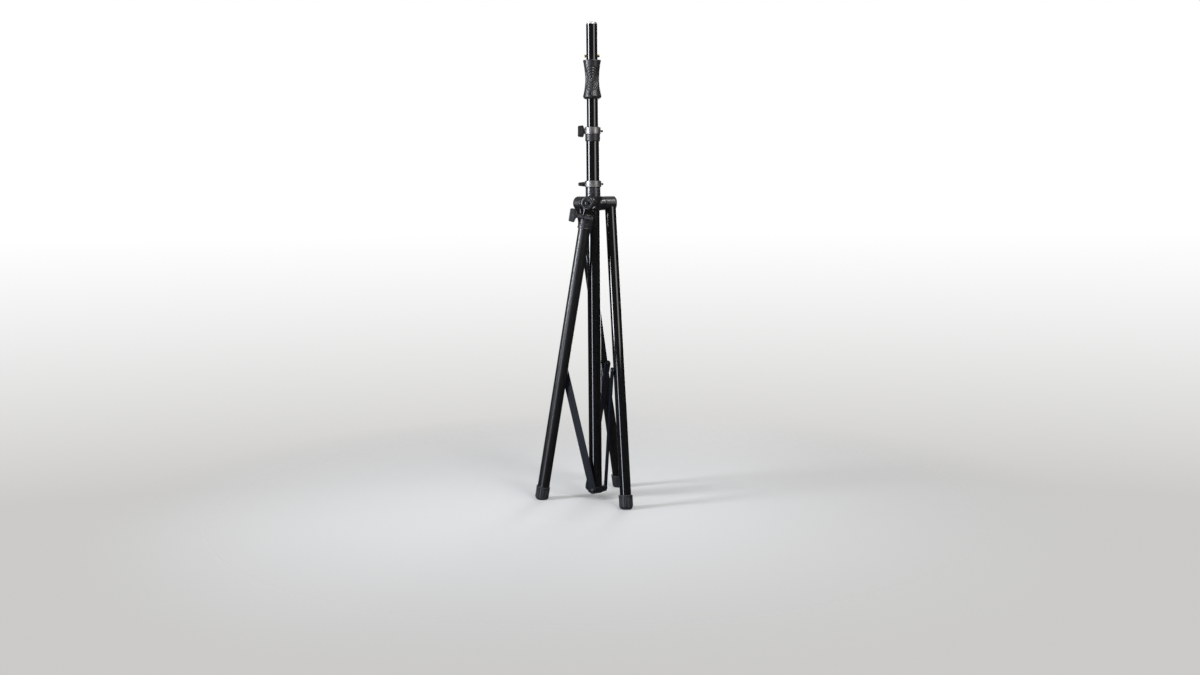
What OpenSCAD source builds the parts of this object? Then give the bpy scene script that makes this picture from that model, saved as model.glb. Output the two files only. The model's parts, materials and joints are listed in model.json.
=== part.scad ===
// Tall tripod speaker stand: a pole that telescopes out of a mast, a hub that slides down the mast
// to spread three legs, three flat struts, and one leg that lengthens to level the stand.
// Millimetres. +Z is up, the floor is z = 0, and the origin is under the middle of the footprint.
// Arms are numbered right leg, rear leg, levelling leg. -Y is the front.

/* [Mast] */
// Outside diameter of the mast tube
mast_d = 44.45; // [42:0.05:48]
// Wall of the mast tube
mast_wall = 2; // [1.5:0.1:2.2]
// Length of the mast tube
mast_len = 1231; // [1150:1:1400]
// Height of the mast tube's lower end above the floor
mast_foot_z = 26; // [16:1:28]

/* [Pole] */
// Outside diameter of the pole and of its speaker spigot
pole_d = 38.1; // [35:0.05:38.4]
// Wall of the pole
pole_wall = 2; // [1.5:0.1:3]
// Height of the pole's end above the mast collar
pole_show = 340; // [330:1:600]
// Room between the pole's lower end and the mast's foot
pole_foot_room = 17; // [5:1:60]
// Height of the end cap above the pole
cap_rise = 6; // [2:0.5:8]
// Depth of the shallow groove that marks the end of the spigot
spigot_groove_depth = 0.4; // [0.2:0.1:0.8]
// Height of that groove
spigot_groove_h = 2; // [1:0.5:4]

/* [Snap buttons] */
// Distance from the pole's end down to the two snap buttons
button_down = 105; // [90:1:110]
// Diameter of a snap button
button_d = 9.5; // [7:0.5:12]
// How far a snap button stands out of the pole
button_proud = 7; // [5:0.1:9]

/* [Grip] */
// Distance from the pole's end down to the top of the grip
grip_down = 119; // [114:1:200]
// Length of the grip
grip_len = 129; // [110:1:150]
// Diameter of the grip at its upper rim
grip_top_d = 61.5; // [54:0.5:70]
// Diameter of the grip at its waist
grip_waist_d = 47; // [45:0.5:52]
// Diameter of the grip above its rounded foot
grip_low_d = 62.5; // [60:0.5:70]
// Share of the grip's length that lies below its waist
grip_waist_at = 0.5; // [0.4:0.01:0.6]
// Depth of the contour grooves in the grip
grip_groove_depth = 0.9; // [0.5:0.1:1.5]

/* [Collars and clamps] */
// Wall of a collar's sleeve where it covers its tube
sleeve_wall = 3; // [2.5:0.1:5]
// Length of the mast collar's sleeve below its clamp
mast_sleeve_len = 24; // [16:1:40]
// Length of the hub collar's sleeve below its clamp
hub_sleeve_len = 30; // [24:1:45]
// Height of the mast's clamp band
mast_band_h = 23; // [20:1:32]
// Height of the hub's clamp band
hub_band_h = 21; // [18:1:28]
// Thickness of a clamp band
band_wall = 3.4; // [2.5:0.1:5]
// Half the width of a clamp's ears, along its bolt
ear_half = 20; // [16:0.5:23]
// Radius of a clamp's ear barrels
ear_r = 7.5; // [6:0.5:8]
// Diameter of a clamp's bolt
clamp_bolt_d = 7; // [5:0.5:8]
// Width of the slit in a clamp band
band_slit = 3; // [1.5:0.5:4]
// Width of the slits in a collar
collar_slit = 1.6; // [1:0.1:2.5]

/* [Knobs] */
// Length of a knob's cross bar
knob_bar_len = 46; // [36:1:56]
// Thickness of a knob's cross bar
knob_bar_t = 14; // [10:0.5:18]
// Distance from a knob's foot to its outer face
knob_depth = 30; // [25:1:40]
// Diameter of a knob's stem
knob_stem_d = 13.5; // [12:0.5:16]
// Turn of the mast knob from level
mast_knob_turn = 40; // [0:1:90]
// Turn of the levelling knob from level with its leg
level_knob_turn = 0; // [-45:1:45]

/* [Hub] */
// Radius of the hub's middle
hub_r = 29; // [27:0.5:34]
// Height of the hub
hub_h = 49; // [40:1:60]
// Wall of the plastic liner in the hub
liner_wall = 1.8; // [1.2:0.1:2.5]
// Radius of the three arms and of the leg knuckles
arm_r = 24; // [21:0.5:25]
// Radius at which the arms end and the knuckles start
arm_end_r = 39.7; // [36:0.1:40.5]
// Length of a knuckle along its pivot
knuckle_len = 39.4; // [34:0.1:46]
// Diameter of a leg's pivot bolt
leg_bolt_d = 10; // [8:0.5:12]
// Direction of the first arm from +X
arm_turn = 14.7; // [0:0.1:119]

/* [Legs] */
// Distance of a leg's axis from the mast's axis, seen from above
leg_axis_r = 60; // [59.5:0.5:64]
// Length from a leg's pivot to the floor
leg_len = 1040; // [950:1:1100]
// Lean of the legs from upright as stored
leg_angle = 9.95; // [8:0.05:12]
// Outside diameter of a leg tube
leg_d = 38.1; // [34:0.05:39]
// Wall of a leg tube
leg_wall = 2; // [1.5:0.1:3]

/* [Levelling leg] */
// Wall of the levelling leg's outer tube
level_wall = 1.53; // [1.2:0.01:2]
// Distance from the leg's pivot to the top of the levelling clamp
level_clamp_at = 36; // [32:1:80]
// Length of the levelling clamp along the leg
level_clamp_len = 50; // [44:1:70]
// Wall of the levelling clamp
level_clamp_wall = 2.9; // [2.4:0.1:4]
// Distance from the clamp's top to its bolt
level_bolt_down = 10; // [9:0.5:14]
// Radius of the levelling clamp's ear barrel
level_ear_r = 6; // [5:0.5:7]
// Half the width of the levelling clamp's ears
level_ear_half = 20; // [18:0.5:24]
// Travel of the levelling leg
level_travel = 180; // [100:10:220]
// Length of the inner tube that stays in the outer tube at full travel
level_overlap = 150; // [100:10:200]

/* [Feet] */
// Diameter of a rubber foot
foot_d = 47; // [44:0.5:54]
// Height of a rubber foot
foot_h = 47; // [40:1:60]
// Thickness of rubber under a leg tube
foot_sole = 9; // [7:0.5:14]
// Number of flutes round a foot
foot_flutes = 14; // [8:1:18]

/* [Struts and bracket] */
// Distance along the leg from its pivot to the strut's pivot
strut_on_leg = 574; // [480:1:600]
// Width of a strut
strut_w = 25.4; // [20:0.1:30]
// Thickness of a strut
strut_t = 5; // [3:0.1:6]
// Diameter of a strut's pivot
strut_pin_d = 8; // [6:0.5:10]
// Height of the struts' lower pivots above the floor
bracket_pivot_z = 35; // [33:1:60]
// Wall of the bracket's cup
bracket_wall = 4.3; // [3:0.1:6]
// Height of the bracket's top above the struts' lower pivots
bracket_rise = 9; // [7:1:20]
// Width of a bracket's lug
lug_w = 30; // [26:1:34]

/* [Fits] */
// Radial clearance of tubes and bolts that slide or turn
slide_gap = 0.07; // [0.03:0.01:0.1]
// Clearance between flat faces that move past each other
face_gap = 0.3; // [0.2:0.05:0.5]
// Clearance between a leg and its strut, where the linkage is open
strut_gap = 1.2; // [0.8:0.1:2]

/* [Hidden] */
$fn = 64;
cut = 1;

right_arm = 0;
rear_arm = 1;
level_arm = 2;

mast_r = mast_d / 2;
mast_ir = mast_r - mast_wall;
mast_top_z = mast_foot_z + mast_len;

// The mast collar: a sleeve over the mast's end, and above it a slit neck in the clamp band
sleeve_r = mast_r + sleeve_wall;
neck_wall = 4.5;
mast_neck_r = pole_d / 2 + slide_gap + neck_wall;
hub_neck_r = mast_r + slide_gap + 2.5;
neck_lip = 1.5;
collar_top_z = mast_top_z + mast_band_h + neck_lip;

pole_r = pole_d / 2;
pole_ir = pole_r - pole_wall;
pole_top_z = collar_top_z + pole_show;
pole_foot_z = mast_foot_z + pole_foot_room;
button_z = pole_top_z - button_down;
button_r = button_d / 2;
button_flange_r = button_r + 2;
button_flange_t = 2;
button_boss = 2;
guide_len = 30;
guide_wall = 3;
guide_flange = 5;
spigot_len = button_down - button_d - 4;

grip_top_z = pole_top_z - grip_down;
grip_waist_up = grip_len * grip_waist_at;
grip_low_round = 10;
grip_top_bevel = 1.2;
grip_screw_az = 258;
grip_screw_up = 16;
grip_screw_r = 3.8;

// Hub and legs
pivot_z = leg_len * cos(leg_angle);
hub_top_z = pivot_z + hub_h / 2;
hub_bore_r = mast_r + slide_gap;
hub_band_z = hub_top_z + hub_sleeve_len;
leg_r = leg_d / 2;
leg_ir = leg_r - leg_wall;
leg_bolt_r = leg_bolt_d / 2;
knuckle_in_r = arm_end_r + face_gap;
knuckle_plug = 45;
knuckle_round = 8;
bolt_head_r = 7;
bolt_head_h = 5;
bolt_well = 6;
bolt_well_r = 14;

level_ir = leg_r + slide_gap;
level_r = level_ir + level_wall;
level_clamp_r = level_r + level_clamp_wall;
level_tube_at = level_clamp_at + 2;
level_inner_end = level_tube_at + level_travel + level_overlap;
glide_len = 25;

foot_r = foot_d / 2;
foot_round = 10;
foot_flute_r = 3;
foot_flute_depth = 1.1;

// Struts: their plane lies between the mast and the thickest leg
strut_out_r = leg_axis_r - level_r - strut_gap;
strut_in_r = strut_out_r - strut_t;
strut_pin_r = strut_pin_d / 2;
strut_reach = strut_on_leg * sin(leg_angle);
strut_rise = pivot_z - strut_on_leg * cos(leg_angle) - bracket_pivot_z;
strut_len = norm([strut_reach, strut_rise]);
strut_angle = atan2(strut_reach, strut_rise);
insert_r = 8;
insert_face_r = strut_out_r + strut_gap / 2;
insert_shank_r = 5;
insert_depth = 4;
rivet_head_r = 7;
rivet_head_h = 3;
lug_face_r = strut_in_r - face_gap;
bracket_r = mast_r + bracket_wall;
bracket_floor = 4;
lug_slope = 8;
bracket_z = mast_foot_z - bracket_floor;
bracket_h = bracket_pivot_z + bracket_rise - bracket_z;

// A knob: its bore for the bolt, the plain neck of its stem, and the rounding of its bar
knob_bore = 0.55 * knob_depth;
knob_neck = 4;
knob_tip_r = 5;

// The clamps' bolts run past the band, the knob sits on one end and the nut on the other
clamp_bolt_r = clamp_bolt_d / 2;
ear_pad = 0.6;
nut_t = 6.5;
nut_r = 7.5;
bolt_tail = 8.5;
mast_band_r = mast_neck_r + band_wall;
hub_band_r = hub_neck_r + band_wall;
mast_ear_y = mast_band_r + ear_r - 1.5;
hub_ear_y = hub_band_r + ear_r - 1.5;
level_ear_x = level_clamp_r + level_ear_r - 1;
level_bolt_at = level_clamp_at + level_bolt_down;
level_bolt_len = 2 * level_ear_half + nut_t + 2;
hub_key_az = 288;
hub_slit_az = 252;
hub_slit_below = 18;

// Where the mast stands, so that the footprint's middle is over the origin
foot_spread = leg_len * sin(leg_angle);
arm_step = 120;
function arm_az(i) = arm_turn + arm_step * i;
function foot_at(i) = [
    leg_axis_r * cos(arm_az(i)) + foot_spread * sin(arm_az(i)),
    leg_axis_r * sin(arm_az(i)) - foot_spread * cos(arm_az(i))
];
feet_x = [for (i = [0:2]) foot_at(i)[0]];
feet_y = [for (i = [0:2]) foot_at(i)[1]];
mast_x = -(max(feet_x) + min(feet_x)) / 2;
mast_y = -(max(feet_y) + min(feet_y)) / 2;

// Points of an arc about [x, y] with radius r from angle a to angle b
function arc(x, y, r, a, b, steps = 12) = [
    for (i = [0:steps]) let (t = a + (b - a) * i / steps) [x + r * cos(t), y + r * sin(t)]
];

// Frames: the mast's axis, an arm with +X outward, a leg with -Z down its axis, and a strut
module at_mast(z = 0) { translate([mast_x, mast_y, z]) children(); }
module at_arm(i, z = 0) { at_mast(z) rotate([0, 0, arm_az(i)]) children(); }
module at_leg(i, down = 0) {
    at_arm(i, pivot_z) translate([leg_axis_r, 0, 0]) rotate([-leg_angle, 0, 0])
        translate([0, 0, -down]) children();
}
module at_strut(i, up = 0) {
    at_arm(i, bracket_pivot_z) rotate([strut_angle, 0, 0]) translate([0, 0, up]) children();
}

// A cylinder along +X from x0 to x1
module rod_x(r, x0, x1) { translate([x0, 0, 0]) rotate([0, 90, 0]) cylinder(r = r, h = x1 - x0); }

module pipe(r_out, r_in, h) {
    difference() {
        cylinder(r = r_out, h = h);
        translate([0, 0, -cut]) cylinder(r = r_in, h = h + 2 * cut);
    }
}

// A ring with its outer edges bevelled
module bevelled_ring(r_out, r_in, h, low, high) {
    rotate_extrude() polygon([
        [r_in, 0], [r_out - low, 0], [r_out, low], [r_out, h - high], [r_out - high, h], [r_in, h]
    ]);
}

// A screw head and shank along +X: the shank from x0 to x1, then a domed head
module headed_pin(shank_r, x0, x1, head_r, head_h) {
    rotate([0, 90, 0]) rotate_extrude() polygon([
        [0, x0], [shank_r, x0], [shank_r, x1], [head_r, x1], [head_r, x1 + head_h * 0.4],
        [head_r * 0.82, x1 + head_h * 0.8], [head_r * 0.45, x1 + head_h], [0, x1 + head_h]
    ]);
}

// Mast

module mast_tube() {
    color("#1b1b1e") at_mast(mast_foot_z) pipe(mast_r, mast_ir, mast_len);
}

// A collar's slits run down from its top, one in line with the band's slit and one in front
module collar_slits(depth, reach, azimuths) {
    for (a = azimuths) rotate([0, 0, a])
        translate([0, -collar_slit / 2, -depth]) cube([reach, collar_slit, depth + cut]);
}

module mast_collar() {
    color("#3a3a3e") at_mast(mast_top_z) difference() {
        rotate_extrude() polygon([
            [mast_r, -mast_sleeve_len], [sleeve_r - 1, -mast_sleeve_len], [sleeve_r, -mast_sleeve_len + 4],
            [sleeve_r, -0.8], [sleeve_r - 0.8, 0], [mast_neck_r, 0],
            [mast_neck_r, mast_band_h + neck_lip - 1], [mast_neck_r - 1, mast_band_h + neck_lip],
            [pole_r + slide_gap, mast_band_h + neck_lip], [pole_r + slide_gap, 0], [mast_r, 0]
        ]);
        translate([0, 0, mast_band_h + neck_lip])
            collar_slits(mast_band_h - 2, sleeve_r + cut, [90, 210, 330]);
    }
}

// A clamp band seen from its axis: ears towards +Y and the bolt along X, at mid height
module clamp_band(r_in, r_out, h, ear_y) {
    difference() {
        union() {
            bevelled_ring(r_out, r_in, h, 1, 1);
            translate([-ear_half, 0, h / 2 - ear_r + 1.5]) cube([2 * ear_half, ear_y, 2 * ear_r - 3]);
            translate([0, ear_y, h / 2]) rod_x(ear_r, -ear_half, ear_half);
        }
        translate([0, 0, -cut]) cylinder(r = r_in, h = h + 2 * cut);
        translate([-band_slit / 2, 0, -cut]) cube([band_slit, ear_y + ear_r + cut, h + 2 * cut]);
        translate([0, ear_y, h / 2]) rod_x(clamp_bolt_r + slide_gap, -ear_half - cut, ear_half + cut);
    }
}

module clamp_nut() {
    difference() {
        rotate([0, 90, 0]) cylinder(r = nut_r, h = nut_t, $fn = 6);
        rod_x(clamp_bolt_r + slide_gap, -cut, nut_t + cut);
    }
}

module mast_clamp_band() {
    color("#8f8f92") at_mast(mast_top_z) clamp_band(mast_neck_r, mast_band_r, mast_band_h, mast_ear_y);
}

module mast_clamp_nut() {
    color("#b9b9bb") at_mast(mast_top_z + mast_band_h / 2)
        translate([ear_half, mast_ear_y, 0]) clamp_nut();
}

// The bracket: a cup for the mast's end and three lugs that carry the struts
module lower_bracket() {
    color("#222226") difference() {
        union() {
            at_mast(bracket_z) bevelled_ring(bracket_r, 0, bracket_h, 3, 1.5);
            for (i = [0:2]) at_arm(i, bracket_z) rotate([90, 0, 90])
                linear_extrude(lug_face_r) polygon([
                    [-lug_w / 2, bracket_h - 1], [-lug_w / 2, lug_slope], [-lug_w / 4, 0],
                    [lug_w / 4, 0], [lug_w / 2, lug_slope], [lug_w / 2, bracket_h - 1]
                ]);
        }
        at_mast(mast_foot_z) cylinder(r = mast_r, h = bracket_h);
        for (i = [0:2]) at_arm(i, bracket_pivot_z) rod_x(strut_pin_r, mast_r - cut, lug_face_r + cut);
    }
}

module strut_pivot_bolts() {
    color("#9a9a9d") for (i = [0:2]) at_arm(i, bracket_pivot_z)
        headed_pin(strut_pin_r, mast_r + 1, strut_out_r + face_gap, 7, 3.5);
}

// Pole

module pole_tube() {
    color("#1b1b1e") at_mast(pole_foot_z) difference() {
        cylinder(r = pole_r, h = pole_top_z - pole_foot_z);
        translate([0, 0, -cut]) cylinder(r = pole_ir, h = pole_top_z - pole_foot_z + 2 * cut);
        translate([0, 0, button_z - pole_foot_z]) rod_x(button_r + slide_gap, -pole_r - cut, pole_r + cut);
        translate([0, 0, pole_top_z - spigot_len - spigot_groove_h - pole_foot_z])
            difference() {
                cylinder(r = pole_r + cut, h = spigot_groove_h);
                translate([0, 0, -cut])
                    cylinder(r = pole_r - spigot_groove_depth, h = spigot_groove_h + 2 * cut);
            }
    }
}

module pole_cap() {
    color("#c9cacc") at_mast(pole_top_z) rotate_extrude() polygon([
        [0, -14], [pole_ir, -14], [pole_ir, 0], [pole_r - 1.2, 0], [pole_r - 1.7, cap_rise * 0.3],
        [pole_r - 2.3, cap_rise - 0.8], [pole_r - 3.3, cap_rise], [0, cap_rise]
    ]);
}

// The guide runs in the mast, and the pole turns on its plug
module pole_guide() {
    plug_r = pole_ir - slide_gap;
    color("#d8d4c4") at_mast(pole_foot_z) rotate_extrude() polygon([
        [plug_r - guide_wall, -guide_flange], [mast_ir - slide_gap, -guide_flange],
        [mast_ir - slide_gap, -face_gap], [plug_r, -face_gap], [plug_r, guide_len],
        [plug_r - guide_wall, guide_len]
    ]);
}

// The grip's outline: its radius at a height above its foot
function grip_r(z) =
    let (
        low = z < grip_waist_up,
        end = low ? grip_low_round : grip_len,
        rim = low ? grip_low_d : grip_top_d
    )
    grip_waist_d / 2 + (rim - grip_waist_d) / 2 * pow((z - grip_waist_up) / (end - grip_waist_up), 1.85);

module grip_outline(sunk = 0) {
    steps = 16;
    side = grip_len - grip_top_bevel - grip_low_round;
    polygon(concat(
        [[pole_r, 0]],
        arc(grip_low_d / 2 - grip_low_round - sunk, grip_low_round, grip_low_round, -90, -15, 6),
        [for (i = [0:steps]) let (z = grip_low_round + side * i / steps) [grip_r(z) - sunk, z]],
        [[grip_top_d / 2 - grip_top_bevel - sunk, grip_len], [pole_r, grip_len]]
    ));
}

// A pointed oval that stands h high and w wide
module pointed_oval(w, h) {
    r = (h * h + w * w) / (4 * w);
    intersection() {
        translate([r - w / 2, 0]) circle(r = r);
        translate([-r + w / 2, 0]) circle(r = r);
    }
}

module pole_grip() {
    groove_w = 1.8;
    color("#343438") at_mast(grip_top_z - grip_len) difference() {
        rotate_extrude() grip_outline();
        for (side = [0, 180]) rotate([0, 0, side - 2]) intersection() {
            translate([0, 0, grip_waist_up + 2]) rotate([90, 0, 0]) linear_extrude(grip_low_d)
                for (k = [0:2]) let (w = 20 + 10 * k, h = 34 + 19 * k) difference() {
                    pointed_oval(w, h);
                    pointed_oval(w - 2 * groove_w, h - 2 * groove_w * 1.6);
                }
            difference() {
                cylinder(r = grip_low_d, h = grip_len);
                rotate_extrude() grip_outline(grip_groove_depth);
                cylinder(r = pole_r + 1, h = grip_len);
            }
        }
        translate([0, 0, grip_screw_up]) rotate([0, 0, grip_screw_az])
            rod_x(grip_screw_r, pole_r, grip_low_d);
    }
}

module grip_screw() {
    seat = grip_r(grip_screw_up) - 4;
    color("#77777a") at_mast(grip_top_z - grip_len + grip_screw_up) rotate([0, 0, grip_screw_az])
        difference() {
            rod_x(grip_screw_r, pole_r, seat);
            translate([seat - 1, -0.6, -grip_screw_r - cut]) cube([2, 1.2, 2 * grip_screw_r + 2 * cut]);
        }
}

// The spring: two leaves pressed apart against the buttons, joined by a bend below them
module button_spring() {
    leaf_x = pole_ir - 1 - button_flange_t - button_boss;
    leaf_t = 1.2;
    leaf_w = 10;
    leaf_len = 42;
    color("#a9adb3") at_mast(button_z) translate([0, leaf_w / 2, 0]) rotate([90, 0, 0])
        linear_extrude(leaf_w) union() {
            difference() {
                translate([-leaf_x, -leaf_len]) square([2 * leaf_x, leaf_len + button_r]);
                translate([-leaf_x + leaf_t, -leaf_len - cut])
                    square([2 * (leaf_x - leaf_t), leaf_len + button_r + 2 * cut]);
            }
            difference() {
                translate([0, -leaf_len]) circle(r = leaf_x);
                translate([0, -leaf_len]) circle(r = leaf_x - leaf_t);
                translate([-leaf_x - cut, -leaf_len]) square(2 * leaf_x + 2 * cut);
            }
        }
}

// A snap button: a flange inside the pole, and a ramped nose outside it, along +X
module snap_button() {
    inside = pole_ir - 1;
    flange_x = inside - button_flange_t;
    boss_r = button_r - 1.5;
    nose = pole_r + button_proud;
    nose_round = 3;
    rotate([0, 90, 0]) rotate_extrude() polygon(concat(
        [[0, flange_x - button_boss], [boss_r, flange_x - button_boss], [boss_r, flange_x],
         [button_flange_r, flange_x], [button_flange_r, inside - 0.6], [button_r, inside]],
        arc(button_r - nose_round, nose - nose_round, nose_round, 0, 80, 6),
        [[0, nose]]
    ));
}

module right_snap_button() { color("#c9a84a") at_mast(button_z) snap_button(); }
module left_snap_button() { color("#c9a84a") at_mast(button_z) rotate([0, 0, 180]) snap_button(); }

// Knobs and their bolts. A knob points along +X from its foot, and its bar lies along Z.

// The round ends of a knob's bar: two rods across it at x, their axes z from its middle
module knob_tips(x, z, t) {
    for (side = [-1, 1]) translate([x, t / 2, side * z]) rotate([90, 0, 0])
        cylinder(r = knob_tip_r, h = t, $fn = 32);
}

module clamp_knob() {
    tip_z = knob_bar_len / 2 - knob_tip_r;
    difference() {
        union() {
            rod_x(knob_stem_d / 2, 0, knob_bore);
            hull() {
                rod_x(knob_stem_d / 2, knob_neck, knob_neck + 2, $fn = 32);
                knob_tips(knob_bore + 2, tip_z, knob_bar_t);
                knob_tips(knob_depth - knob_tip_r, tip_z - 1, knob_bar_t - 2);
            }
        }
        rod_x(clamp_bolt_r, -cut, knob_bore);
    }
}

// The bolt of a clamp: screwed into its knob at x = 0, and running back through ears and nut
module clamp_bolt(back) { rod_x(clamp_bolt_r, -back, knob_bore); }

module mast_knob_frame() {
    at_mast(mast_top_z + mast_band_h / 2) translate([-ear_half - ear_pad, mast_ear_y, 0])
        rotate([0, 0, 180]) rotate([mast_knob_turn, 0, 0]) children();
}
module mast_knob() { color("#2b2b2e") mast_knob_frame() clamp_knob(); }
module mast_clamp_bolt() {
    color("#8a8a8d") mast_knob_frame() clamp_bolt(2 * ear_half + ear_pad + nut_t + bolt_tail);
}

// Hub

module hub_casting() {
    half = hub_h / 2;
    bore = hub_bore_r + liner_wall;
    color("#2a2a2e") at_mast(pivot_z) difference() {
        union() {
            rotate_extrude() polygon([
                [bore, -half], [hub_r - 3, -half], [hub_r, -half + 3], [hub_r, half - 4],
                [hub_r - 3, half], [bore, half]
            ]);
            for (i = [0:2]) rotate([0, 0, arm_az(i)]) rod_x(arm_r, 0, arm_end_r);
        }
        translate([0, 0, -half - cut]) cylinder(r = bore, h = hub_h + 2 * cut);
        for (i = [0:2]) rotate([0, 0, arm_az(i)]) rod_x(leg_bolt_r, bore - cut, arm_end_r + cut);
    }
}

module hub_liner() {
    color("#d8d4c4") at_mast(pivot_z - hub_h / 2) pipe(hub_bore_r + liner_wall, hub_bore_r, hub_h);
}

// The hub's collar: a sleeve with a slit and a moulded key, and a neck for the clamp band
module hub_collar() {
    key_w = 20;
    key_h = 20;
    color("#38383c") at_mast(hub_top_z) difference() {
        union() {
            rotate_extrude() polygon([
                [hub_bore_r, 0], [sleeve_r + 0.4, 0], [sleeve_r + 0.4, hub_sleeve_len - 1],
                [sleeve_r - 0.6, hub_sleeve_len], [hub_neck_r, hub_sleeve_len],
                [hub_neck_r, hub_sleeve_len + hub_band_h + neck_lip],
                [hub_bore_r, hub_sleeve_len + hub_band_h + neck_lip]
            ]);
            intersection() {
                rotate([0, 0, hub_key_az]) translate([0, -key_w / 2, 6])
                    cube([sleeve_r + 10, key_w, key_h]);
                cylinder(r = sleeve_r + 1.8, h = hub_sleeve_len);
            }
        }
        translate([0, 0, -cut]) cylinder(r = hub_bore_r, h = hub_sleeve_len + hub_band_h + 3 * cut);
        translate([0, 0, hub_sleeve_len + hub_band_h + neck_lip])
            collar_slits(hub_band_h + neck_lip + hub_slit_below, sleeve_r + 3, [90, hub_slit_az]);
    }
}

module hub_clamp_band() {
    color("#8f8f92") at_mast(hub_band_z) clamp_band(hub_neck_r, hub_band_r, hub_band_h, hub_ear_y);
}

module hub_clamp_nut() {
    color("#b9b9bb") at_mast(hub_band_z + hub_band_h / 2)
        translate([ear_half, hub_ear_y, 0]) clamp_nut();
}

module hub_knob_frame() {
    at_mast(hub_band_z + hub_band_h / 2) translate([-ear_half - ear_pad, hub_ear_y, 0])
        rotate([0, 0, 180]) rotate([90, 0, 0]) children();
}
module hub_knob() { color("#2b2b2e") hub_knob_frame() clamp_knob(); }
module hub_clamp_bolt() {
    color("#8a8a8d") hub_knob_frame() clamp_bolt(2 * ear_half + ear_pad + nut_t + bolt_tail);
}

module leg_pivot_bolts() {
    seat = knuckle_in_r + knuckle_len - bolt_well + face_gap;
    color("#8a8a8d") for (i = [0:2]) at_arm(i, pivot_z) difference() {
        headed_pin(leg_bolt_r, hub_bore_r + liner_wall + 1, seat, bolt_head_r, bolt_head_h);
        rod_x(3.2, seat + bolt_head_h - 3, seat + bolt_head_h + cut, $fn = 6);
    }
}

// Legs

// A knuckle's barrel on the pivot, from x = knuckle_x, with a rounded outer end
knuckle_x = knuckle_in_r - leg_axis_r;
module knuckle_barrel() {
    translate([knuckle_x, 0, 0]) rotate([0, 90, 0]) rotate_extrude() polygon(concat(
        [[0, 0], [arm_r - 0.8, 0], [arm_r, 0.8]],
        arc(arm_r - knuckle_round, knuckle_len - knuckle_round, knuckle_round, 0, 90, 5),
        [[0, knuckle_len]]
    ));
}

// A knuckle: its barrel, and a plug that fills the head of its tube
module knuckle() {
    x1 = knuckle_x + knuckle_len;
    difference() {
        union() {
            knuckle_barrel();
            translate([0, 0, -arm_r - knuckle_plug]) cylinder(r = leg_ir, h = arm_r + knuckle_plug);
        }
        rod_x(leg_bolt_r + slide_gap, knuckle_x - cut, x1 + cut);
        rod_x(bolt_well_r, x1 - bolt_well, x1 + cut);
    }
}

// A tube from near the pivot down to its end, its head coped to the knuckle's barrel
module coped_tube(r_out, r_in, length) {
    difference() {
        translate([0, 0, -length]) cylinder(r = r_out, h = length);
        translate([0, 0, -length - cut]) cylinder(r = r_in, h = length + 2 * cut);
        knuckle_barrel();
    }
}

// The hole for a strut's insert, in the side of a tube that faces the mast
module insert_hole(depth) {
    translate([0, 0, -depth]) rod_x(insert_shank_r, -level_r - cut, -leg_ir + insert_depth);
}

module leg_tube() {
    difference() {
        coped_tube(leg_r, leg_ir, leg_len - foot_sole);
        insert_hole(strut_on_leg);
    }
}

// A rubber foot on the axis of its leg, its end cut level with the floor
module foot(i, tube_r) {
    color("#3b3d42") difference() {
        at_leg(i, leg_len) difference() {
            rotate_extrude() polygon(concat(
                [[0, -2]],
                arc(foot_r - foot_round, foot_round - 2, foot_round, -90, 0, 8),
                [[foot_r, foot_h - 5], [foot_r + 0.6, foot_h - 4.5], [foot_r + 0.6, foot_h - 1],
                 [foot_r - 0.6, foot_h], [tube_r, foot_h], [tube_r, foot_sole], [0, foot_sole]]
            ));
            for (k = [0:foot_flutes - 1]) rotate([0, 0, 360 * (k + 0.5) / foot_flutes])
                translate([foot_r + foot_flute_r - foot_flute_depth, 0, 2])
                    cylinder(r = foot_flute_r, h = foot_h - 9);
        }
        translate([mast_x, mast_y, 0] + concat(foot_at(i), 0) - [foot_d, foot_d, foot_d])
            cube([2 * foot_d, 2 * foot_d, foot_d]);
    }
}

// The insert that a strut's pivot bears on, set in the leg's side towards the mast
module strut_insert(i, tube_r) {
    x0 = -(leg_axis_r - insert_face_r);
    color("#8a8a8d") at_leg(i, strut_on_leg) union() {
        rod_x(insert_r, x0, -tube_r);
        rod_x(insert_shank_r, x0 + 0.2, -leg_ir + 1);
    }
}

module right_knuckle() { color("#2a2a2e") at_leg(right_arm) knuckle(); }
module right_leg_tube() { color("#1b1b1e") at_leg(right_arm) leg_tube(); }
module right_foot() { foot(right_arm, leg_r); }
module right_strut_insert() { strut_insert(right_arm, leg_r); }

module rear_knuckle() { color("#2a2a2e") at_leg(rear_arm) knuckle(); }
module rear_leg_tube() { color("#1b1b1e") at_leg(rear_arm) leg_tube(); }
module rear_foot() { foot(rear_arm, leg_r); }
module rear_strut_insert() { strut_insert(rear_arm, leg_r); }

// Levelling leg: an inner tube on the knuckle, and an outer tube that slides on it

module level_knuckle() { color("#2a2a2e") at_leg(level_arm) knuckle(); }

module level_inner_tube() {
    color("#1b1b1e") at_leg(level_arm) coped_tube(leg_r, leg_ir, level_inner_end);
}

module level_tube_glide() {
    color("#d8d4c4") at_leg(level_arm, level_inner_end) rotate_extrude() polygon([
        [leg_ir - 3, -4], [leg_r - 0.1, -4], [leg_r - 0.1, 0], [leg_ir, 0], [leg_ir, glide_len],
        [leg_ir - 3, glide_len]
    ]);
}

module level_outer_tube() {
    color("#1b1b1e") at_leg(level_arm) difference() {
        translate([0, 0, -leg_len + foot_sole])
            pipe(level_r, level_ir, leg_len - foot_sole - level_tube_at);
        insert_hole(strut_on_leg);
    }
}

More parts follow.
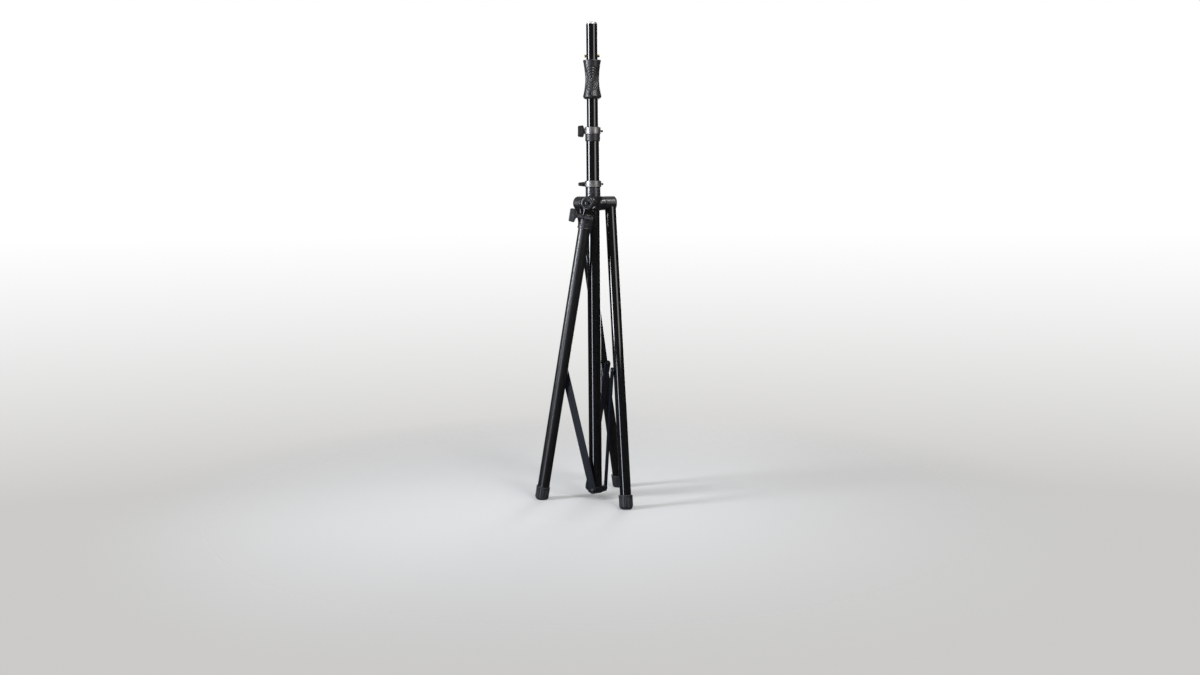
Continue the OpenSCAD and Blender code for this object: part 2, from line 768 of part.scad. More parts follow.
// The levelling clamp: a ribbed sleeve over the outer tube, slit at its bolt, with ears outward
module level_clamp() {
    low = -level_clamp_len;
    rib_h = 4;
    rib_r = level_clamp_r + 0.8;
    lip = level_tube_at - level_clamp_at;
    color("#38383c") at_leg(level_arm, level_clamp_at) difference() {
        union() {
            rotate_extrude() polygon([
                [level_r, low], [rib_r, low], [rib_r, low + rib_h], [level_clamp_r, low + rib_h],
                [level_clamp_r, low + 3 * rib_h], [rib_r, low + 3 * rib_h],
                [rib_r, low + 4 * rib_h], [level_clamp_r, low + 4 * rib_h],
                [level_clamp_r, -1.2], [level_clamp_r - 1.2, 0], [level_ir, 0],
                [level_ir, -lip], [level_r, -lip]
            ]);
            translate([0, -level_ear_half, -level_bolt_down - level_ear_r + 1])
                cube([level_ear_x, 2 * level_ear_half, 2 * level_ear_r - 2]);
            translate([level_ear_x, 0, -level_bolt_down]) rotate([0, 0, 90])
                rod_x(level_ear_r, -level_ear_half, level_ear_half);
        }
        translate([0, 0, low - cut]) cylinder(r = level_r, h = level_clamp_len - lip + cut);
        translate([0, 0, -lip - cut]) cylinder(r = level_ir, h = lip + 2 * cut);
        translate([0, -band_slit / 2, -2 * level_bolt_down])
            cube([level_ear_x + level_ear_r + cut, band_slit, 2 * level_bolt_down + cut]);
        translate([level_ear_x, 0, -level_bolt_down]) rotate([0, 0, 90])
            rod_x(clamp_bolt_r + slide_gap, -level_ear_half - cut, level_ear_half + cut);
    }
}

module level_clamp_nut() {
    color("#b9b9bb") at_leg(level_arm, level_bolt_at) translate([level_ear_x, level_ear_half, 0])
        rotate([0, 0, 90]) clamp_nut();
}

module level_foot() { foot(level_arm, level_r); }
module level_strut_insert() { strut_insert(level_arm, level_r); }

module level_knob_frame() {
    at_leg(level_arm, level_bolt_at) translate([level_ear_x, -level_ear_half - ear_pad, 0])
        rotate([0, 0, -90]) rotate([level_knob_turn, 0, 0]) children();
}
module level_knob() { color("#4a4a4e") level_knob_frame() clamp_knob(); }
module level_clamp_bolt() { color("#8a8a8d") level_knob_frame() clamp_bolt(level_bolt_len + ear_pad); }

// Struts: flat bars with round ends, bolted to the bracket's lugs and riveted at their upper ends

module strut_bar(i) {
    half = strut_w / 2;
    color("#41444f") at_strut(i) translate([strut_in_r, 0, 0]) difference() {
        rotate([90, 0, 90]) linear_extrude(strut_t)
            polygon(concat(arc(0, 0, half, 180, 360, 16), arc(0, strut_len, half, 0, 180, 16)));
        for (z = [0, strut_len]) translate([0, 0, z])
            rod_x(strut_pin_r + (z == 0 ? slide_gap : 0), -cut, strut_t + cut);
    }
}

module strut_rivet(i) {
    color("#8a8a8d") at_strut(i, strut_len) translate([strut_out_r, 0, 0]) rotate([0, 0, 180])
        headed_pin(strut_pin_r, 0, strut_t, rivet_head_r, rivet_head_h);
}

module right_strut() { strut_bar(right_arm); }
module right_strut_rivet() { strut_rivet(right_arm); }
module rear_strut() { strut_bar(rear_arm); }
module rear_strut_rivet() { strut_rivet(rear_arm); }
module level_strut() { strut_bar(level_arm); }
module level_strut_rivet() { strut_rivet(level_arm); }

mast_tube();
mast_collar();
mast_clamp_band();
mast_clamp_nut();
lower_bracket();
strut_pivot_bolts();
pole_tube();
pole_cap();
pole_guide();
pole_grip();
grip_screw();
button_spring();
left_snap_button();
right_snap_button();
mast_knob();
mast_clamp_bolt();
hub_casting();
hub_liner();
hub_collar();
hub_clamp_band();
hub_clamp_nut();
leg_pivot_bolts();
hub_knob();
hub_clamp_bolt();
right_knuckle();
right_leg_tube();
right_foot();
right_strut_insert();
rear_knuckle();
rear_leg_tube();
rear_foot();
rear_strut_insert();
level_knuckle();
level_inner_tube();
level_tube_glide();
level_outer_tube();
level_clamp();
level_clamp_nut();
level_foot();
level_strut_insert();
level_knob();
level_clamp_bolt();
right_strut();
right_strut_rivet();
rear_strut();
rear_strut_rivet();
level_strut();
level_strut_rivet();
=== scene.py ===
"""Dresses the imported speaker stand: its finishes, its cast and moulded pieces, the floor and the camera."""

import json
from math import acos, atan2, cos, pi, radians, sin

import bpy
import numpy as np
from bpy.props import FloatProperty, FloatVectorProperty, PointerProperty
from bpy.types import Operator, Panel, PropertyGroup
from mathutils import Matrix, Vector


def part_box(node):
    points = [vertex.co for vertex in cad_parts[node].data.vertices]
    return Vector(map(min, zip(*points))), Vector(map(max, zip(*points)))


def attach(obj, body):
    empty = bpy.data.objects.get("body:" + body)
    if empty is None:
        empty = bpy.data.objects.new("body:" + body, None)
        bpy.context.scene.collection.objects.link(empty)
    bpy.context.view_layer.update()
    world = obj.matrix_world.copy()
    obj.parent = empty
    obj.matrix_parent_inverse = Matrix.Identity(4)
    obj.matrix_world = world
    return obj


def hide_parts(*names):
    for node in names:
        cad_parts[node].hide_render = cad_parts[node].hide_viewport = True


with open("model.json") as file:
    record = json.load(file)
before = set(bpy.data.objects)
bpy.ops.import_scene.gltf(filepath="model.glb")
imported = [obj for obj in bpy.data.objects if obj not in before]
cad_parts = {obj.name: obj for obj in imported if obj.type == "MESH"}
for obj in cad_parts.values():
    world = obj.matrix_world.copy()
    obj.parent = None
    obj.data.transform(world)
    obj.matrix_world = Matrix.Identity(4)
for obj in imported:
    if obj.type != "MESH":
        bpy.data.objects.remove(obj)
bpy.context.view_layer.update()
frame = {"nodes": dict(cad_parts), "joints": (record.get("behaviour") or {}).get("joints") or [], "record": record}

bl_info = {
    "name": "Speaker stand",
    "version": (1, 0, 0),
    "blender": (4, 5, 0),
    "location": "View3D > Sidebar > Speaker stand",
    "description": "Finishes and moulded pieces of a tripod speaker stand",
    "category": "Object",
}

MM = 0.001
LEGS = ("right", "rear", "level")
JOINTS = {joint["name"]: joint for joint in frame["joints"]}
LEG_LEAN = acos(-JOINTS["level_slide"]["axis"][2])


def middle_of(node):
    low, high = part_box(node)
    return (low + high) / 2


def arm_turn(leg):
    """Direction of the hub's arm for a leg, seen from above."""
    x, y, _ = JOINTS[f"{leg}_leg_swing"]["axis"]
    return atan2(-y, -x)


MAST_AXIS = middle_of("mast_tube")
PIVOT_Z = JOINTS["right_leg_swing"]["pos_m"][2]
ARM_TURNS = [arm_turn(leg) for leg in LEGS]

# Sizes of the pieces that are made here, in millimetres and radians, most of them as in the part's source
MAST_R, POLE_R, LEG_R, LEVEL_R = 22.225, 19.05, 19.05, 20.65
HUB_R, HUB_HALF, LINER_WALL = 29.0, 24.5, 1.87
ARM_R, ARM_END, BOLT_R, BOLT_GAP = 24.0, 39.7, 5.0, 0.1
KNUCKLE_FROM, KNUCKLE_LEN, WELL_R, WELL = -20.0, 39.4, 14.0, 6.0
CLAMP_AT, CLAMP_LEN, CLAMP_R, CLAMP_BOLT_R, CLAMP_BOLT_DOWN = 36.0, 50.0, 23.55, 3.57, 10.0
CLAMP_EAR_X, CLAMP_EAR_R, CLAMP_EAR_HALF = 28.55, 6.0, 20.0
CLAMP_SLIT, CLAMP_SLIT_LEN, CLAMP_THROAT, CLAMP_THROAT_GAP = 3.0, 20.0, 2.0, 0.07
CLAMP_RIBS, RIB_HALF, RIB_RISE = (2.0, 14.0), 2.0, 0.8
KNOB_DEPTH, KNOB_HALF, KNOB_T, KNOB_STEM_R = 30.0, 23.0, 14.0, 6.75
BAND_KNOB_BACK, LEVEL_KNOB_BACK, MAST_KNOB_LEAN = 19.4, 14.4, radians(40)
BRACKET_R, BRACKET_LOW, BRACKET_HIGH, BRACKET_FLOOR, BRACKET_GAP = 26.52, 22.0, 44.0, 4.0, 0.02
LUG_FACE, LUG_HALF, LUG_SLOPE, LUG_DROP, LUG_ROUND = 32.85, 15.0, 8.0, 1.0, 2.0
FOOT_R, FOOT_H, FOOT_SOLE, FOOT_ROUND, FLUTES, LEG_LEN = 23.5, 47.0, 9.0, 13.0, 14, 1040.0
GRIP_LEN, GRIP_TOP_R, GRIP_WAIST_R, GRIP_LOW_R, GRIP_ROUND = 129.0, 30.75, 23.5, 31.25, 10.0
GRIP_SCREW_UP, GRIP_SCREW_R, GRIP_SCREW_WELL, GRIP_SCREW_TURN = 16.0, 3.9, 3.6, radians(258)
GROOVES, GROOVES_WIDE, GROOVES_HIGH, GROOVES_UP = 5, 34.0, 43.0, 2.0
GROOVE_SIDES = (radians(-92), radians(88))

# How far a cutting solid reaches past its piece, and the cells of the two finer skins, in millimetres
CUT_PAST, CLAMP_CELL, KNOB_CELL = 20.0, 0.85, 0.8

# The stage's sizes, in metres and degrees, and the slopes between which the backdrop turns white
FLOOR_R, FLOOR_FADE_FROM, FLOOR_FADE_TO = 1.8, 0.35, 1.7
BACKDROP_LOW, BACKDROP_WHITE = -0.22, -0.03
WALL_R, WALL_MIDDLE, WALL_RISE, WALL_TURN = 6.0, 1.0, 84, 168
WALL_DIM_TO, WALL_BRIGHT_FROM, WALL_BRIGHTER = 2.2, 5.6, 10


# Frames of the pieces

def upright_frame(z):
    """A frame on the mast's axis at height z."""
    return Matrix.Translation((MAST_AXIS.x, MAST_AXIS.y, z))


def knob_frame(knob, back, along):
    """A knob's foot: X out along its bolt, Z along its bar, and its joint back millimetres further out."""
    joint = JOINTS[f"{knob}_turn"]
    out = Vector(joint["axis"]).normalized()
    bar = Vector(along)
    bar = (bar - out * bar.dot(out)).normalized()
    turn = Matrix((out, bar.cross(out), bar)).transposed().to_4x4()
    return Matrix.Translation(Vector(joint["pos_m"]) - out * back * MM) @ turn


def arm_frame(leg):
    """A leg's pivot: X outward along its bolt, Z up."""
    joint = JOINTS[f"{leg}_leg_swing"]
    outward = -Vector(joint["axis"])
    up = Vector((0, 0, 1))
    columns = Matrix((outward, up.cross(outward), up)).transposed().to_4x4()
    return Matrix.Translation(joint["pos_m"]) @ columns


def leg_frame(leg, down=0.0):
    """A leg's axis, -Z towards its foot, starting down metres below the pivot."""
    lean = Matrix.Rotation(-LEG_LEAN, 4, "X")
    return arm_frame(leg) @ lean @ Matrix.Translation((0, 0, -down))


# Meshes

def make_piece(name, shape, place, material, body, stands_for, smooth_angle=40, on_floor=False):
    """A shaded object from points in millimetres and faces, set in its place and riding on its body."""
    points, faces = shape
    mesh = bpy.data.meshes.new(name)
    mesh.from_pydata([tuple(p) for p in np.asarray(points) * MM], [], [tuple(f) for f in faces])
    mesh.transform(place)
    if on_floor:
        for vertex in mesh.vertices:
            vertex.co.z = max(vertex.co.z, 0)
    mesh.validate()
    mesh.materials.append(material)
    piece = bpy.data.objects.new(name, mesh)
    bpy.context.scene.collection.objects.link(piece)
    mesh.shade_smooth()
    mesh.set_sharp_from_angle(angle=radians(smooth_angle))
    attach(piece, body)
    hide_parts(stands_for)


def lathe(outline, turns, sink):
    """Points and faces of a closed outline of (radius, height) turned about Z.

    sink(r, z, angle) gives how far each point lies under the plain surface."""
    r = np.array([p[0] for p in outline])[:, None]
    z = np.array([p[1] for p in outline])[:, None]
    angle = np.linspace(0, 2 * pi, turns, endpoint=False)[None, :]
    r = r - sink(r, z, angle)
    z = z + 0 * angle
    points = np.stack([r * np.cos(angle), r * np.sin(angle), z], axis=-1).reshape(-1, 3)
    rows = len(outline)
    faces = []
    for i in range(rows):
        j = (i + 1) % rows
        for k in range(turns):
            n = (k + 1) % turns
            faces.append((i * turns + k, i * turns + n, j * turns + n, j * turns + k))
    return points, faces


def arc(x, y, r, start, end, steps):
    """Points of an arc about (x, y), its angles in degrees."""
    angles = np.radians(np.linspace(start, end, steps + 1))
    return [(x + r * cos(a), y + r * sin(a)) for a in angles]


def closed_lathe(outline, turns, sink):
    """A lathe whose end rings are closed with one face each."""
    points, faces = lathe(outline, turns, sink)
    rows = len(outline)
    faces = faces[: (rows - 1) * turns]
    faces.append(tuple(reversed(range(turns))))
    faces.append(tuple(range((rows - 1) * turns, rows * turns)))
    return points, faces


# Solids described by distance: negative inside, in millimetres

def rod(p, axis, r, a, b, edge):
    """A round rod about one axis through the origin, from a to b, with rounded edges."""
    others = [p[i] for i in range(3) if i != axis]
    across = np.hypot(*others) - r + edge
    along = np.abs(p[axis] - (a + b) / 2) - (b - a) / 2 + edge
    return np.minimum(np.maximum(across, along), 0) + np.hypot(
        np.maximum(across, 0), np.maximum(along, 0)) - edge


def block(p, middle, half, edge):
    """A box with rounded edges."""
    q = [np.abs(p[i] - middle[i]) - half[i] + edge for i in range(3)]
    outside = np.sqrt(sum(np.maximum(v, 0) ** 2 for v in q))
    return outside + np.minimum(np.maximum(np.maximum(q[0], q[1]), q[2]), 0) - edge


def outline_distance(x, y, outline):
    """Distance of points from a closed outline, negative inside it."""
    nearest = np.full(np.shape(x), np.inf)
    sign = np.ones(np.shape(x))
    for (ax, ay), (bx, by) in zip(outline, outline[-1:] + outline[:-1]):
        ex, ey = bx - ax, by - ay
        wx, wy = x - ax, y - ay
        t = np.clip((wx * ex + wy * ey) / (ex * ex + ey * ey), 0, 1)
        nearest = np.minimum(nearest, (wx - ex * t) ** 2 + (wy - ey * t) ** 2)
        above, below, left = y >= ay, y < by, ex * wy > ey * wx
        sign = np.where((above & below & left) | ~(above | below | left), -sign, sign)
    return sign * np.sqrt(nearest)


def plate(p, across, outline, middle, half, swell, edge):
    """A plate square to one axis: an outline in the other two, swollen all round, with rounded edges."""
    x, y = (p[i] for i in range(3) if i != across)
    flat = outline_distance(x, y, outline) - swell + edge
    thick = np.abs(p[across] - middle) - half + edge
    return np.minimum(np.maximum(flat, thick), 0) + np.hypot(
        np.maximum(flat, 0), np.maximum(thick, 0)) - edge


def melt(a, b, fillet):
    """Both solids, joined with a fillet."""
    h = np.maximum(fillet - np.abs(a - b), 0) / fillet
    return np.minimum(a, b) - h * h * fillet / 4


def carve(a, b, fillet):
    """The first solid without the second, its new edges rounded."""
    return -melt(-a, b, fillet)


def turned(p, angle):
    """The same points seen from a frame turned about Z."""
    c, s = cos(angle), sin(angle)
    return (c * p[0] + s * p[1], -s * p[0] + c * p[1], p[2])


def moved(p, x, y, z):
    """The same points seen from a frame that is moved by x, y and z."""
    return (p[0] - x, p[1] - y, p[2] - z)


def skin(field, low, high, cell):
    """Points and quads of the surface where field(p) is zero, between two corners.

    Every cell that the surface crosses gets one point, drawn onto the surface, and every
    grid edge that it crosses gets one face."""
    before, past = 2.3 * cell, 3 * cell
    grid = [np.arange(a - before, b + past, cell) for a, b in zip(low, high)]
    value = field(np.meshgrid(*grid, indexing="ij"))
    inside = value < 0
    cells = tuple(n - 1 for n in value.shape)
    total = np.zeros(cells + (3,))
    count = np.zeros(cells)
    crossings = []
    for axis in range(3):
        near = [slice(None)] * 3
        far = [slice(None)] * 3
        near[axis], far[axis] = slice(None, -1), slice(1, None)
        a, b = value[tuple(near)], value[tuple(far)]
        where = np.argwhere(inside[tuple(near)] != inside[tuple(far)])
        va, vb = a[tuple(where.T)], b[tuple(where.T)]
        at = np.stack([grid[i][where[:, i]] for i in range(3)], axis=1)
        at[:, axis] += cell * va / (va - vb)
        side = [i for i in range(3) if i != axis]
        around = []
        for du, dv in ((0, 0), (-1, 0), (-1, -1), (0, -1)):
            owner = where.copy()
            owner[:, side[0]] += du
            owner[:, side[1]] += dv
            around.append(owner)
            np.add.at(total, tuple(owner.T), at)
            np.add.at(count, tuple(owner.T), 1)
        crossings.append((axis, va < 0, around))
    index = -np.ones(cells, int)
    used = count > 0
    index[used] = np.arange(used.sum())
    points = total[used] / count[used][:, None]
    faces = []
    for axis, outward, around in crossings:
        quads = np.stack([index[tuple(o.T)] for o in around], axis=1)
        flip = outward if axis != 1 else ~outward
        quads[~flip] = quads[~flip][:, ::-1]
        faces.extend(map(tuple, quads))
    reach, least_slope, rounds = 0.02 * cell, 0.2, 3
    for _ in range(rounds):
        here = field(points.T)
        slope = np.stack([
            (field((points + reach * step).T) - here) / reach for step in np.eye(3)
        ], axis=1)
        push = here[:, None] * slope / np.maximum((slope**2).sum(1), least_slope)[:, None]
        points = points - np.clip(push, -cell / 2, cell / 2)
    return points, faces


# Materials

def new_material(name, color, roughness, metallic=0.0, **sockets):
    material = bpy.data.materials.new(name)
    material.use_nodes = True
    shader = material.node_tree.nodes["Principled BSDF"]
    shader.inputs["Base Color"].default_value = (*color, 1)
    shader.inputs["Roughness"].default_value = roughness
    shader.inputs["Metallic"].default_value = metallic
    for socket, value in sockets.items():
        shader.inputs[socket.replace("_", " ")].default_value = value
    return material


def add_node(material, kind, **inputs):
    node = material.node_tree.nodes.new(kind)
    for name, value in inputs.items():
        node.inputs[name.replace("_", " ")].default_value = value
    return node


def object_point(material, stretch=(1, 1, 1), lean=(0, 0, 0)):
    """Points on the piece in metres, stretched so that a pattern runs along it."""
    point = material.node_tree.nodes.new("ShaderNodeTexCoord")
    mapping = add_node(material, "ShaderNodeMapping", Scale=stretch, Rotation=lean)
    material.node_tree.links.new(point.outputs["Object"], mapping.inputs["Vector"])
    return mapping.outputs["Vector"]


def noise(material, vector, scale, detail):
    pattern = add_node(material, "ShaderNodeTexNoise", Scale=scale, Detail=detail, Roughness=0.55)
    material.node_tree.links.new(vector, pattern.inputs["Vector"])
    return pattern.outputs["Fac"]


def between(material, factor, low, high, start=0.3, end=0.7):
    """A number that runs from low to high as factor runs from start to end."""
    ramp = add_node(material, "ShaderNodeMapRange", From_Min=start, From_Max=end, To_Min=low, To_Max=high)
    material.node_tree.links.new(factor, ramp.inputs["Value"])
    return ramp.outputs["Result"]


def tint(material, factor, first, second):
    mix = material.node_tree.nodes.new("ShaderNodeMix")
    mix.data_type = "RGBA"
    mix.inputs["A"].default_value = (*first, 1)
    mix.inputs["B"].default_value = (*second, 1)
    material.node_tree.links.new(factor, mix.inputs["Factor"])
    return mix.outputs["Result"]


def feed(material, output, socket):
    shader = material.node_tree.nodes["Principled BSDF"]
    material.node_tree.links.new(output, shader.inputs[socket])


def bump(material, height, strength, distance):
    node = add_node(material, "ShaderNodeBump", Strength=strength, Distance=distance)
    links = material.node_tree.links
    links.new(height, node.inputs["Height"])
    links.new(node.outputs["Normal"], material.node_tree.nodes["Principled BSDF"].inputs["Normal"])


def worn_edges(material, factor):
    """1 on the piece's outer edges, where handling has polished it, broken up by a pattern."""
    geometry = material.node_tree.nodes.new("ShaderNodeNewGeometry")
    edge = between(material, geometry.outputs["Pointiness"], 0, 1, start=0.55, end=0.68)
    both = material.node_tree.nodes.new("ShaderNodeMath")
    both.operation = "MULTIPLY"
    material.node_tree.links.new(edge, both.inputs[0])
    material.node_tree.links.new(factor, both.inputs[1])
    return both.outputs["Value"]


def black_lacquer(name, color, lean=(0, 0, 0), haze=0.075, gloss=1.0):
    """Black lacquer on a tube: gloss with a slight waviness along it, and thin dust."""
    coat = new_material(name, color, 0.3, Specular_IOR_Level=0.02,
                        Coat_Weight=gloss, Coat_Roughness=haze, Coat_IOR=1.8)
    waves = noise(coat, object_point(coat, (1, 1, 0.08), lean), scale=110, detail=2)
    dust = noise(coat, object_point(coat, (1, 1, 0.35), lean), scale=140, detail=6)
    feed(coat, between(coat, dust, 0.24, 0.42), "Roughness")
    dusty = [c * 2 + 0.001 for c in color]
    feed(coat, tint(coat, between(coat, dust, 0, 1, start=0.45, end=0.85), color, dusty), "Base Color")
    bump(coat, waves, strength=0.12, distance=0.0004)
    return coat


def cast_coat(name, color, roughness, gloss=0.9, haze=0.12):
    """Powder coat over a casting: fine orange peel, with the coat thin on the edges."""
    coat = new_material(name, color, roughness, Specular_IOR_Level=0.25,
                        Coat_Weight=gloss, Coat_Roughness=haze, Coat_IOR=1.7)
    peel = noise(coat, object_point(coat), scale=700, detail=2)
    cloud = noise(coat, object_point(coat), scale=60, detail=5)
    worn = worn_edges(coat, between(coat, cloud, 0.1, 1))
    feed(coat, tint(coat, worn, color, [0.035 + c * 1.5 for c in color]), "Base Color")
    feed(coat, between(coat, cloud, roughness - 0.08, roughness + 0.1), "Roughness")
    bump(coat, peel, strength=0.08, distance=0.0004)
    return coat


def satin_plastic(name, color, roughness, gloss=0.0, haze=0.13):
    """Moulded plastic: fine spark-eroded grain, a little paler and smoother on handled edges."""
    plastic = new_material(name, color, roughness, Specular_IOR_Level=0.4,
                           Coat_Weight=gloss, Coat_Roughness=haze, Coat_IOR=1.7)
    grain = noise(plastic, object_point(plastic), scale=1400, detail=2)
    cloud = noise(plastic, object_point(plastic), scale=45, detail=5)
    worn = worn_edges(plastic, between(plastic, cloud, 0.2, 1))
    feed(plastic, tint(plastic, worn, color, [min(1, c * 1.8 + 0.02) for c in color]), "Base Color")
    feed(plastic, between(plastic, cloud, roughness - 0.07, roughness + 0.09), "Roughness")
    bump(plastic, grain, strength=0.12, distance=0.0003)
    return plastic


def bare_metal(name, color, roughness=0.3):
    """Satin metal with a fine grain, dull clouds and brighter edges."""
    metal = new_material(name, color, roughness, metallic=1.0)
    grain = noise(metal, object_point(metal), scale=900, detail=3)
    cloud = noise(metal, object_point(metal), scale=70, detail=5)
    worn = worn_edges(metal, between(metal, cloud, 0.3, 1))
    feed(metal, tint(metal, worn, color, [min(1, c * 1.35 + 0.05) for c in color]), "Base Color")
    feed(metal, between(metal, cloud, roughness - 0.08, roughness + 0.14), "Roughness")
    bump(metal, grain, strength=0.18, distance=0.0002)
    return metal


def rubber(name, color):
    """Rubber: a dull sheen, with dust caught in its pores."""
    tread = new_material(name, color, 0.6, Coat_Weight=0.5, Coat_Roughness=0.3, Coat_IOR=1.6)
    pores = noise(tread, object_point(tread), scale=1100, detail=4)
    dust = noise(tread, object_point(tread), scale=55, detail=6)
    dusty = [c * 1.7 + 0.01 for c in color]
    feed(tread, tint(tread, between(tread, dust, 0, 1, start=0.45, end=0.75), color, dusty), "Base Color")
    feed(tread, between(tread, dust, 0.5, 0.72), "Roughness")
    bump(tread, pores, strength=0.2, distance=0.0004)
    return tread


# Settings

class StageSettings(PropertyGroup):
    """Camera and light."""
    lens: FloatProperty(
        name="Lens", description="Focal length on a 36 mm wide sensor",
        default=37.35, subtype="DISTANCE_CAMERA")
    distance: FloatProperty(
        name="Distance", description="Camera to mast, level", default=4.265, unit="LENGTH")
    height: FloatProperty(name="Height", description="Camera above the floor", default=1.05, unit="LENGTH")
    side: FloatProperty(
        name="Side step", description="Camera to the right of the mast", default=0.0195, unit="LENGTH")
    tilt: FloatProperty(
        name="Tilt", description="Camera turned down from level", default=radians(6.5), subtype="ANGLE")
    roll: FloatProperty(
        name="Roll", description="Camera turned about its view", default=radians(-0.45), subtype="ANGLE")
    floor_color: FloatVectorProperty(
        name="Floor", description="Colour of the floor", default=(0.80, 0.80, 0.79), subtype="COLOR")
    low_color: FloatVectorProperty(
        name="Low backdrop", description="Colour of the backdrop below eye level",
        default=(0.60, 0.595, 0.585), subtype="COLOR")
    air_color: FloatVectorProperty(
        name="Air", description="Colour of the room's even light",
        default=(0.95, 0.97, 1.0), subtype="COLOR")
    air: FloatProperty(name="Room light", description="Strength of the room's even light", default=0.42)
    wall: FloatProperty(
        name="Wall", description="Brightness of the dark studio walls that the tubes mirror", default=0.032)
    key: FloatProperty(
        name="Key light", description="Power of the tall light on the left", default=37.0, subtype="POWER")
    fill: FloatProperty(
        name="Fill light", description="Power of the broad light on the right",
        default=9.0, subtype="POWER")
    low: FloatProperty(
        name="Low light", description="Power of the narrow light for the lower tubes",
        default=8.0, subtype="POWER")
    top: FloatProperty(
        name="Top light", description="Power of the light above the camera", default=9.0, subtype="POWER")
    back: FloatProperty(
        name="Back light", description="Power of the light behind the stand", default=9.0, subtype="POWER")


class DetailSettings(PropertyGroup):
    """Edges and grooves, in millimetres."""
    hub_fillet: FloatProperty(
        name="Hub fillet", description="Fillet between the hub and its arms", default=6.0)
    knuckle_round: FloatProperty(
        name="Knuckle rounding", description="Rounding of a knuckle's outer end", default=8.0)
    knob_round: FloatProperty(name="Knob rounding", description="Rounding of a knob's faces", default=3.5)
    flute_depth: FloatProperty(name="Flute depth", description="Depth of the flutes in a foot", default=1.8)
    groove_depth: FloatProperty(
        name="Groove depth", description="Depth of the grip's contour grooves", default=1.6)
    cell: FloatProperty(name="Cell", description="Cell size of the cast and moulded surfaces", default=1.1)


class FinishSettings(PropertyGroup):
    """Colours of the finishes."""
    tube: FloatVectorProperty(
        name="Tube", description="Gloss black tube", default=(0.0040, 0.0040, 0.0045), subtype="COLOR")
    casting: FloatVectorProperty(
        name="Casting", description="Coated castings", default=(0.010, 0.010, 0.012), subtype="COLOR")
    collar: FloatVectorProperty(
        name="Collar", description="Moulded collars", default=(0.014, 0.014, 0.0185), subtype="COLOR")
    band: FloatVectorProperty(
        name="Band", description="Metal clamp bands", default=(0.36, 0.355, 0.35), subtype="COLOR")
    zinc: FloatVectorProperty(
        name="Zinc", description="Dark plated bolts and nuts",
        default=(0.075, 0.075, 0.08), subtype="COLOR")
    grip: FloatVectorProperty(
        name="Grip", description="Hand grip", default=(0.0110, 0.0105, 0.0130), subtype="COLOR")
    knob: FloatVectorProperty(
        name="Knob", description="Clamp knobs", default=(0.018, 0.018, 0.020), subtype="COLOR")
    strut: FloatVectorProperty(
        name="Strut", description="Painted struts", default=(0.0080, 0.0092, 0.0145), subtype="COLOR")
    rubber: FloatVectorProperty(
        name="Rubber", description="Rubber feet", default=(0.017, 0.0175, 0.022), subtype="COLOR")
    cap: FloatVectorProperty(
        name="Cap", description="Bright end cap", default=(0.78, 0.79, 0.80), subtype="COLOR")
    button: FloatVectorProperty(
        name="Button", description="Yellow plated snap buttons",
        default=(0.55, 0.41, 0.15), subtype="COLOR")
    nylon: FloatVectorProperty(
        name="Nylon", description="Nylon guides", default=(0.70, 0.66, 0.55), subtype="COLOR")


# Pieces

def dress(nodes, material, edge=0.0):
    """Gives CAD nodes their finish and smooth shading, and rounds their sharp edges slightly.

    Points in one place are joined and flat faces merged first, so that the rounding leaves no slivers."""
    sharp = radians(35)
    for name in nodes:
        node = frame["nodes"][name]
        node.data.materials.clear()
        node.data.materials.append(material)
        node.data.shade_smooth()
        node.data.set_sharp_from_angle(angle=sharp)
        if edge:
            weld = node.modifiers.new("weld", "WELD")
            weld.merge_threshold = 0.01 * MM
            flats = node.modifiers.new("flats", "DECIMATE")
            flats.decimate_type = "DISSOLVE"
            flats.angle_limit = radians(0.5)
            rounding = node.modifiers.new("edges", "BEVEL")
            rounding.width = edge * MM
            rounding.segments = 2
            rounding.limit_method = "ANGLE"
            rounding.angle_limit = sharp
            shading = node.modifiers.new("shading", "WEIGHTED_NORMAL")
            shading.keep_sharp = True


class STAND_OT_tubes(Operator):
    """Finish the tubes and the struts"""
    bl_idname = "stand.tubes"
    bl_label = "Tubes and struts"

    def execute(self, context):
        finish = context.scene.stand_finish
        dress(["mast_tube", "pole_tube"], black_lacquer("gloss_black_tube", finish.tube))
        lean = {leg: tuple(leg_frame(leg).to_euler()) for leg in LEGS}
        for leg, tube in zip(LEGS, ("right_leg_tube", "rear_leg_tube", "level_inner_tube")):
            dress([tube], black_lacquer(f"gloss_black_{leg}_leg", finish.tube, lean[leg]))
        satin = black_lacquer("satin_black_sleeve", finish.tube, lean["level"], haze=0.34)
        dress(["level_outer_tube"], satin)
        paint = black_lacquer("strut_paint", finish.strut, haze=0.3, gloss=0.12)
        dress([f"{leg}_strut" for leg in LEGS], paint, edge=0.7)
        return {"FINISHED"}


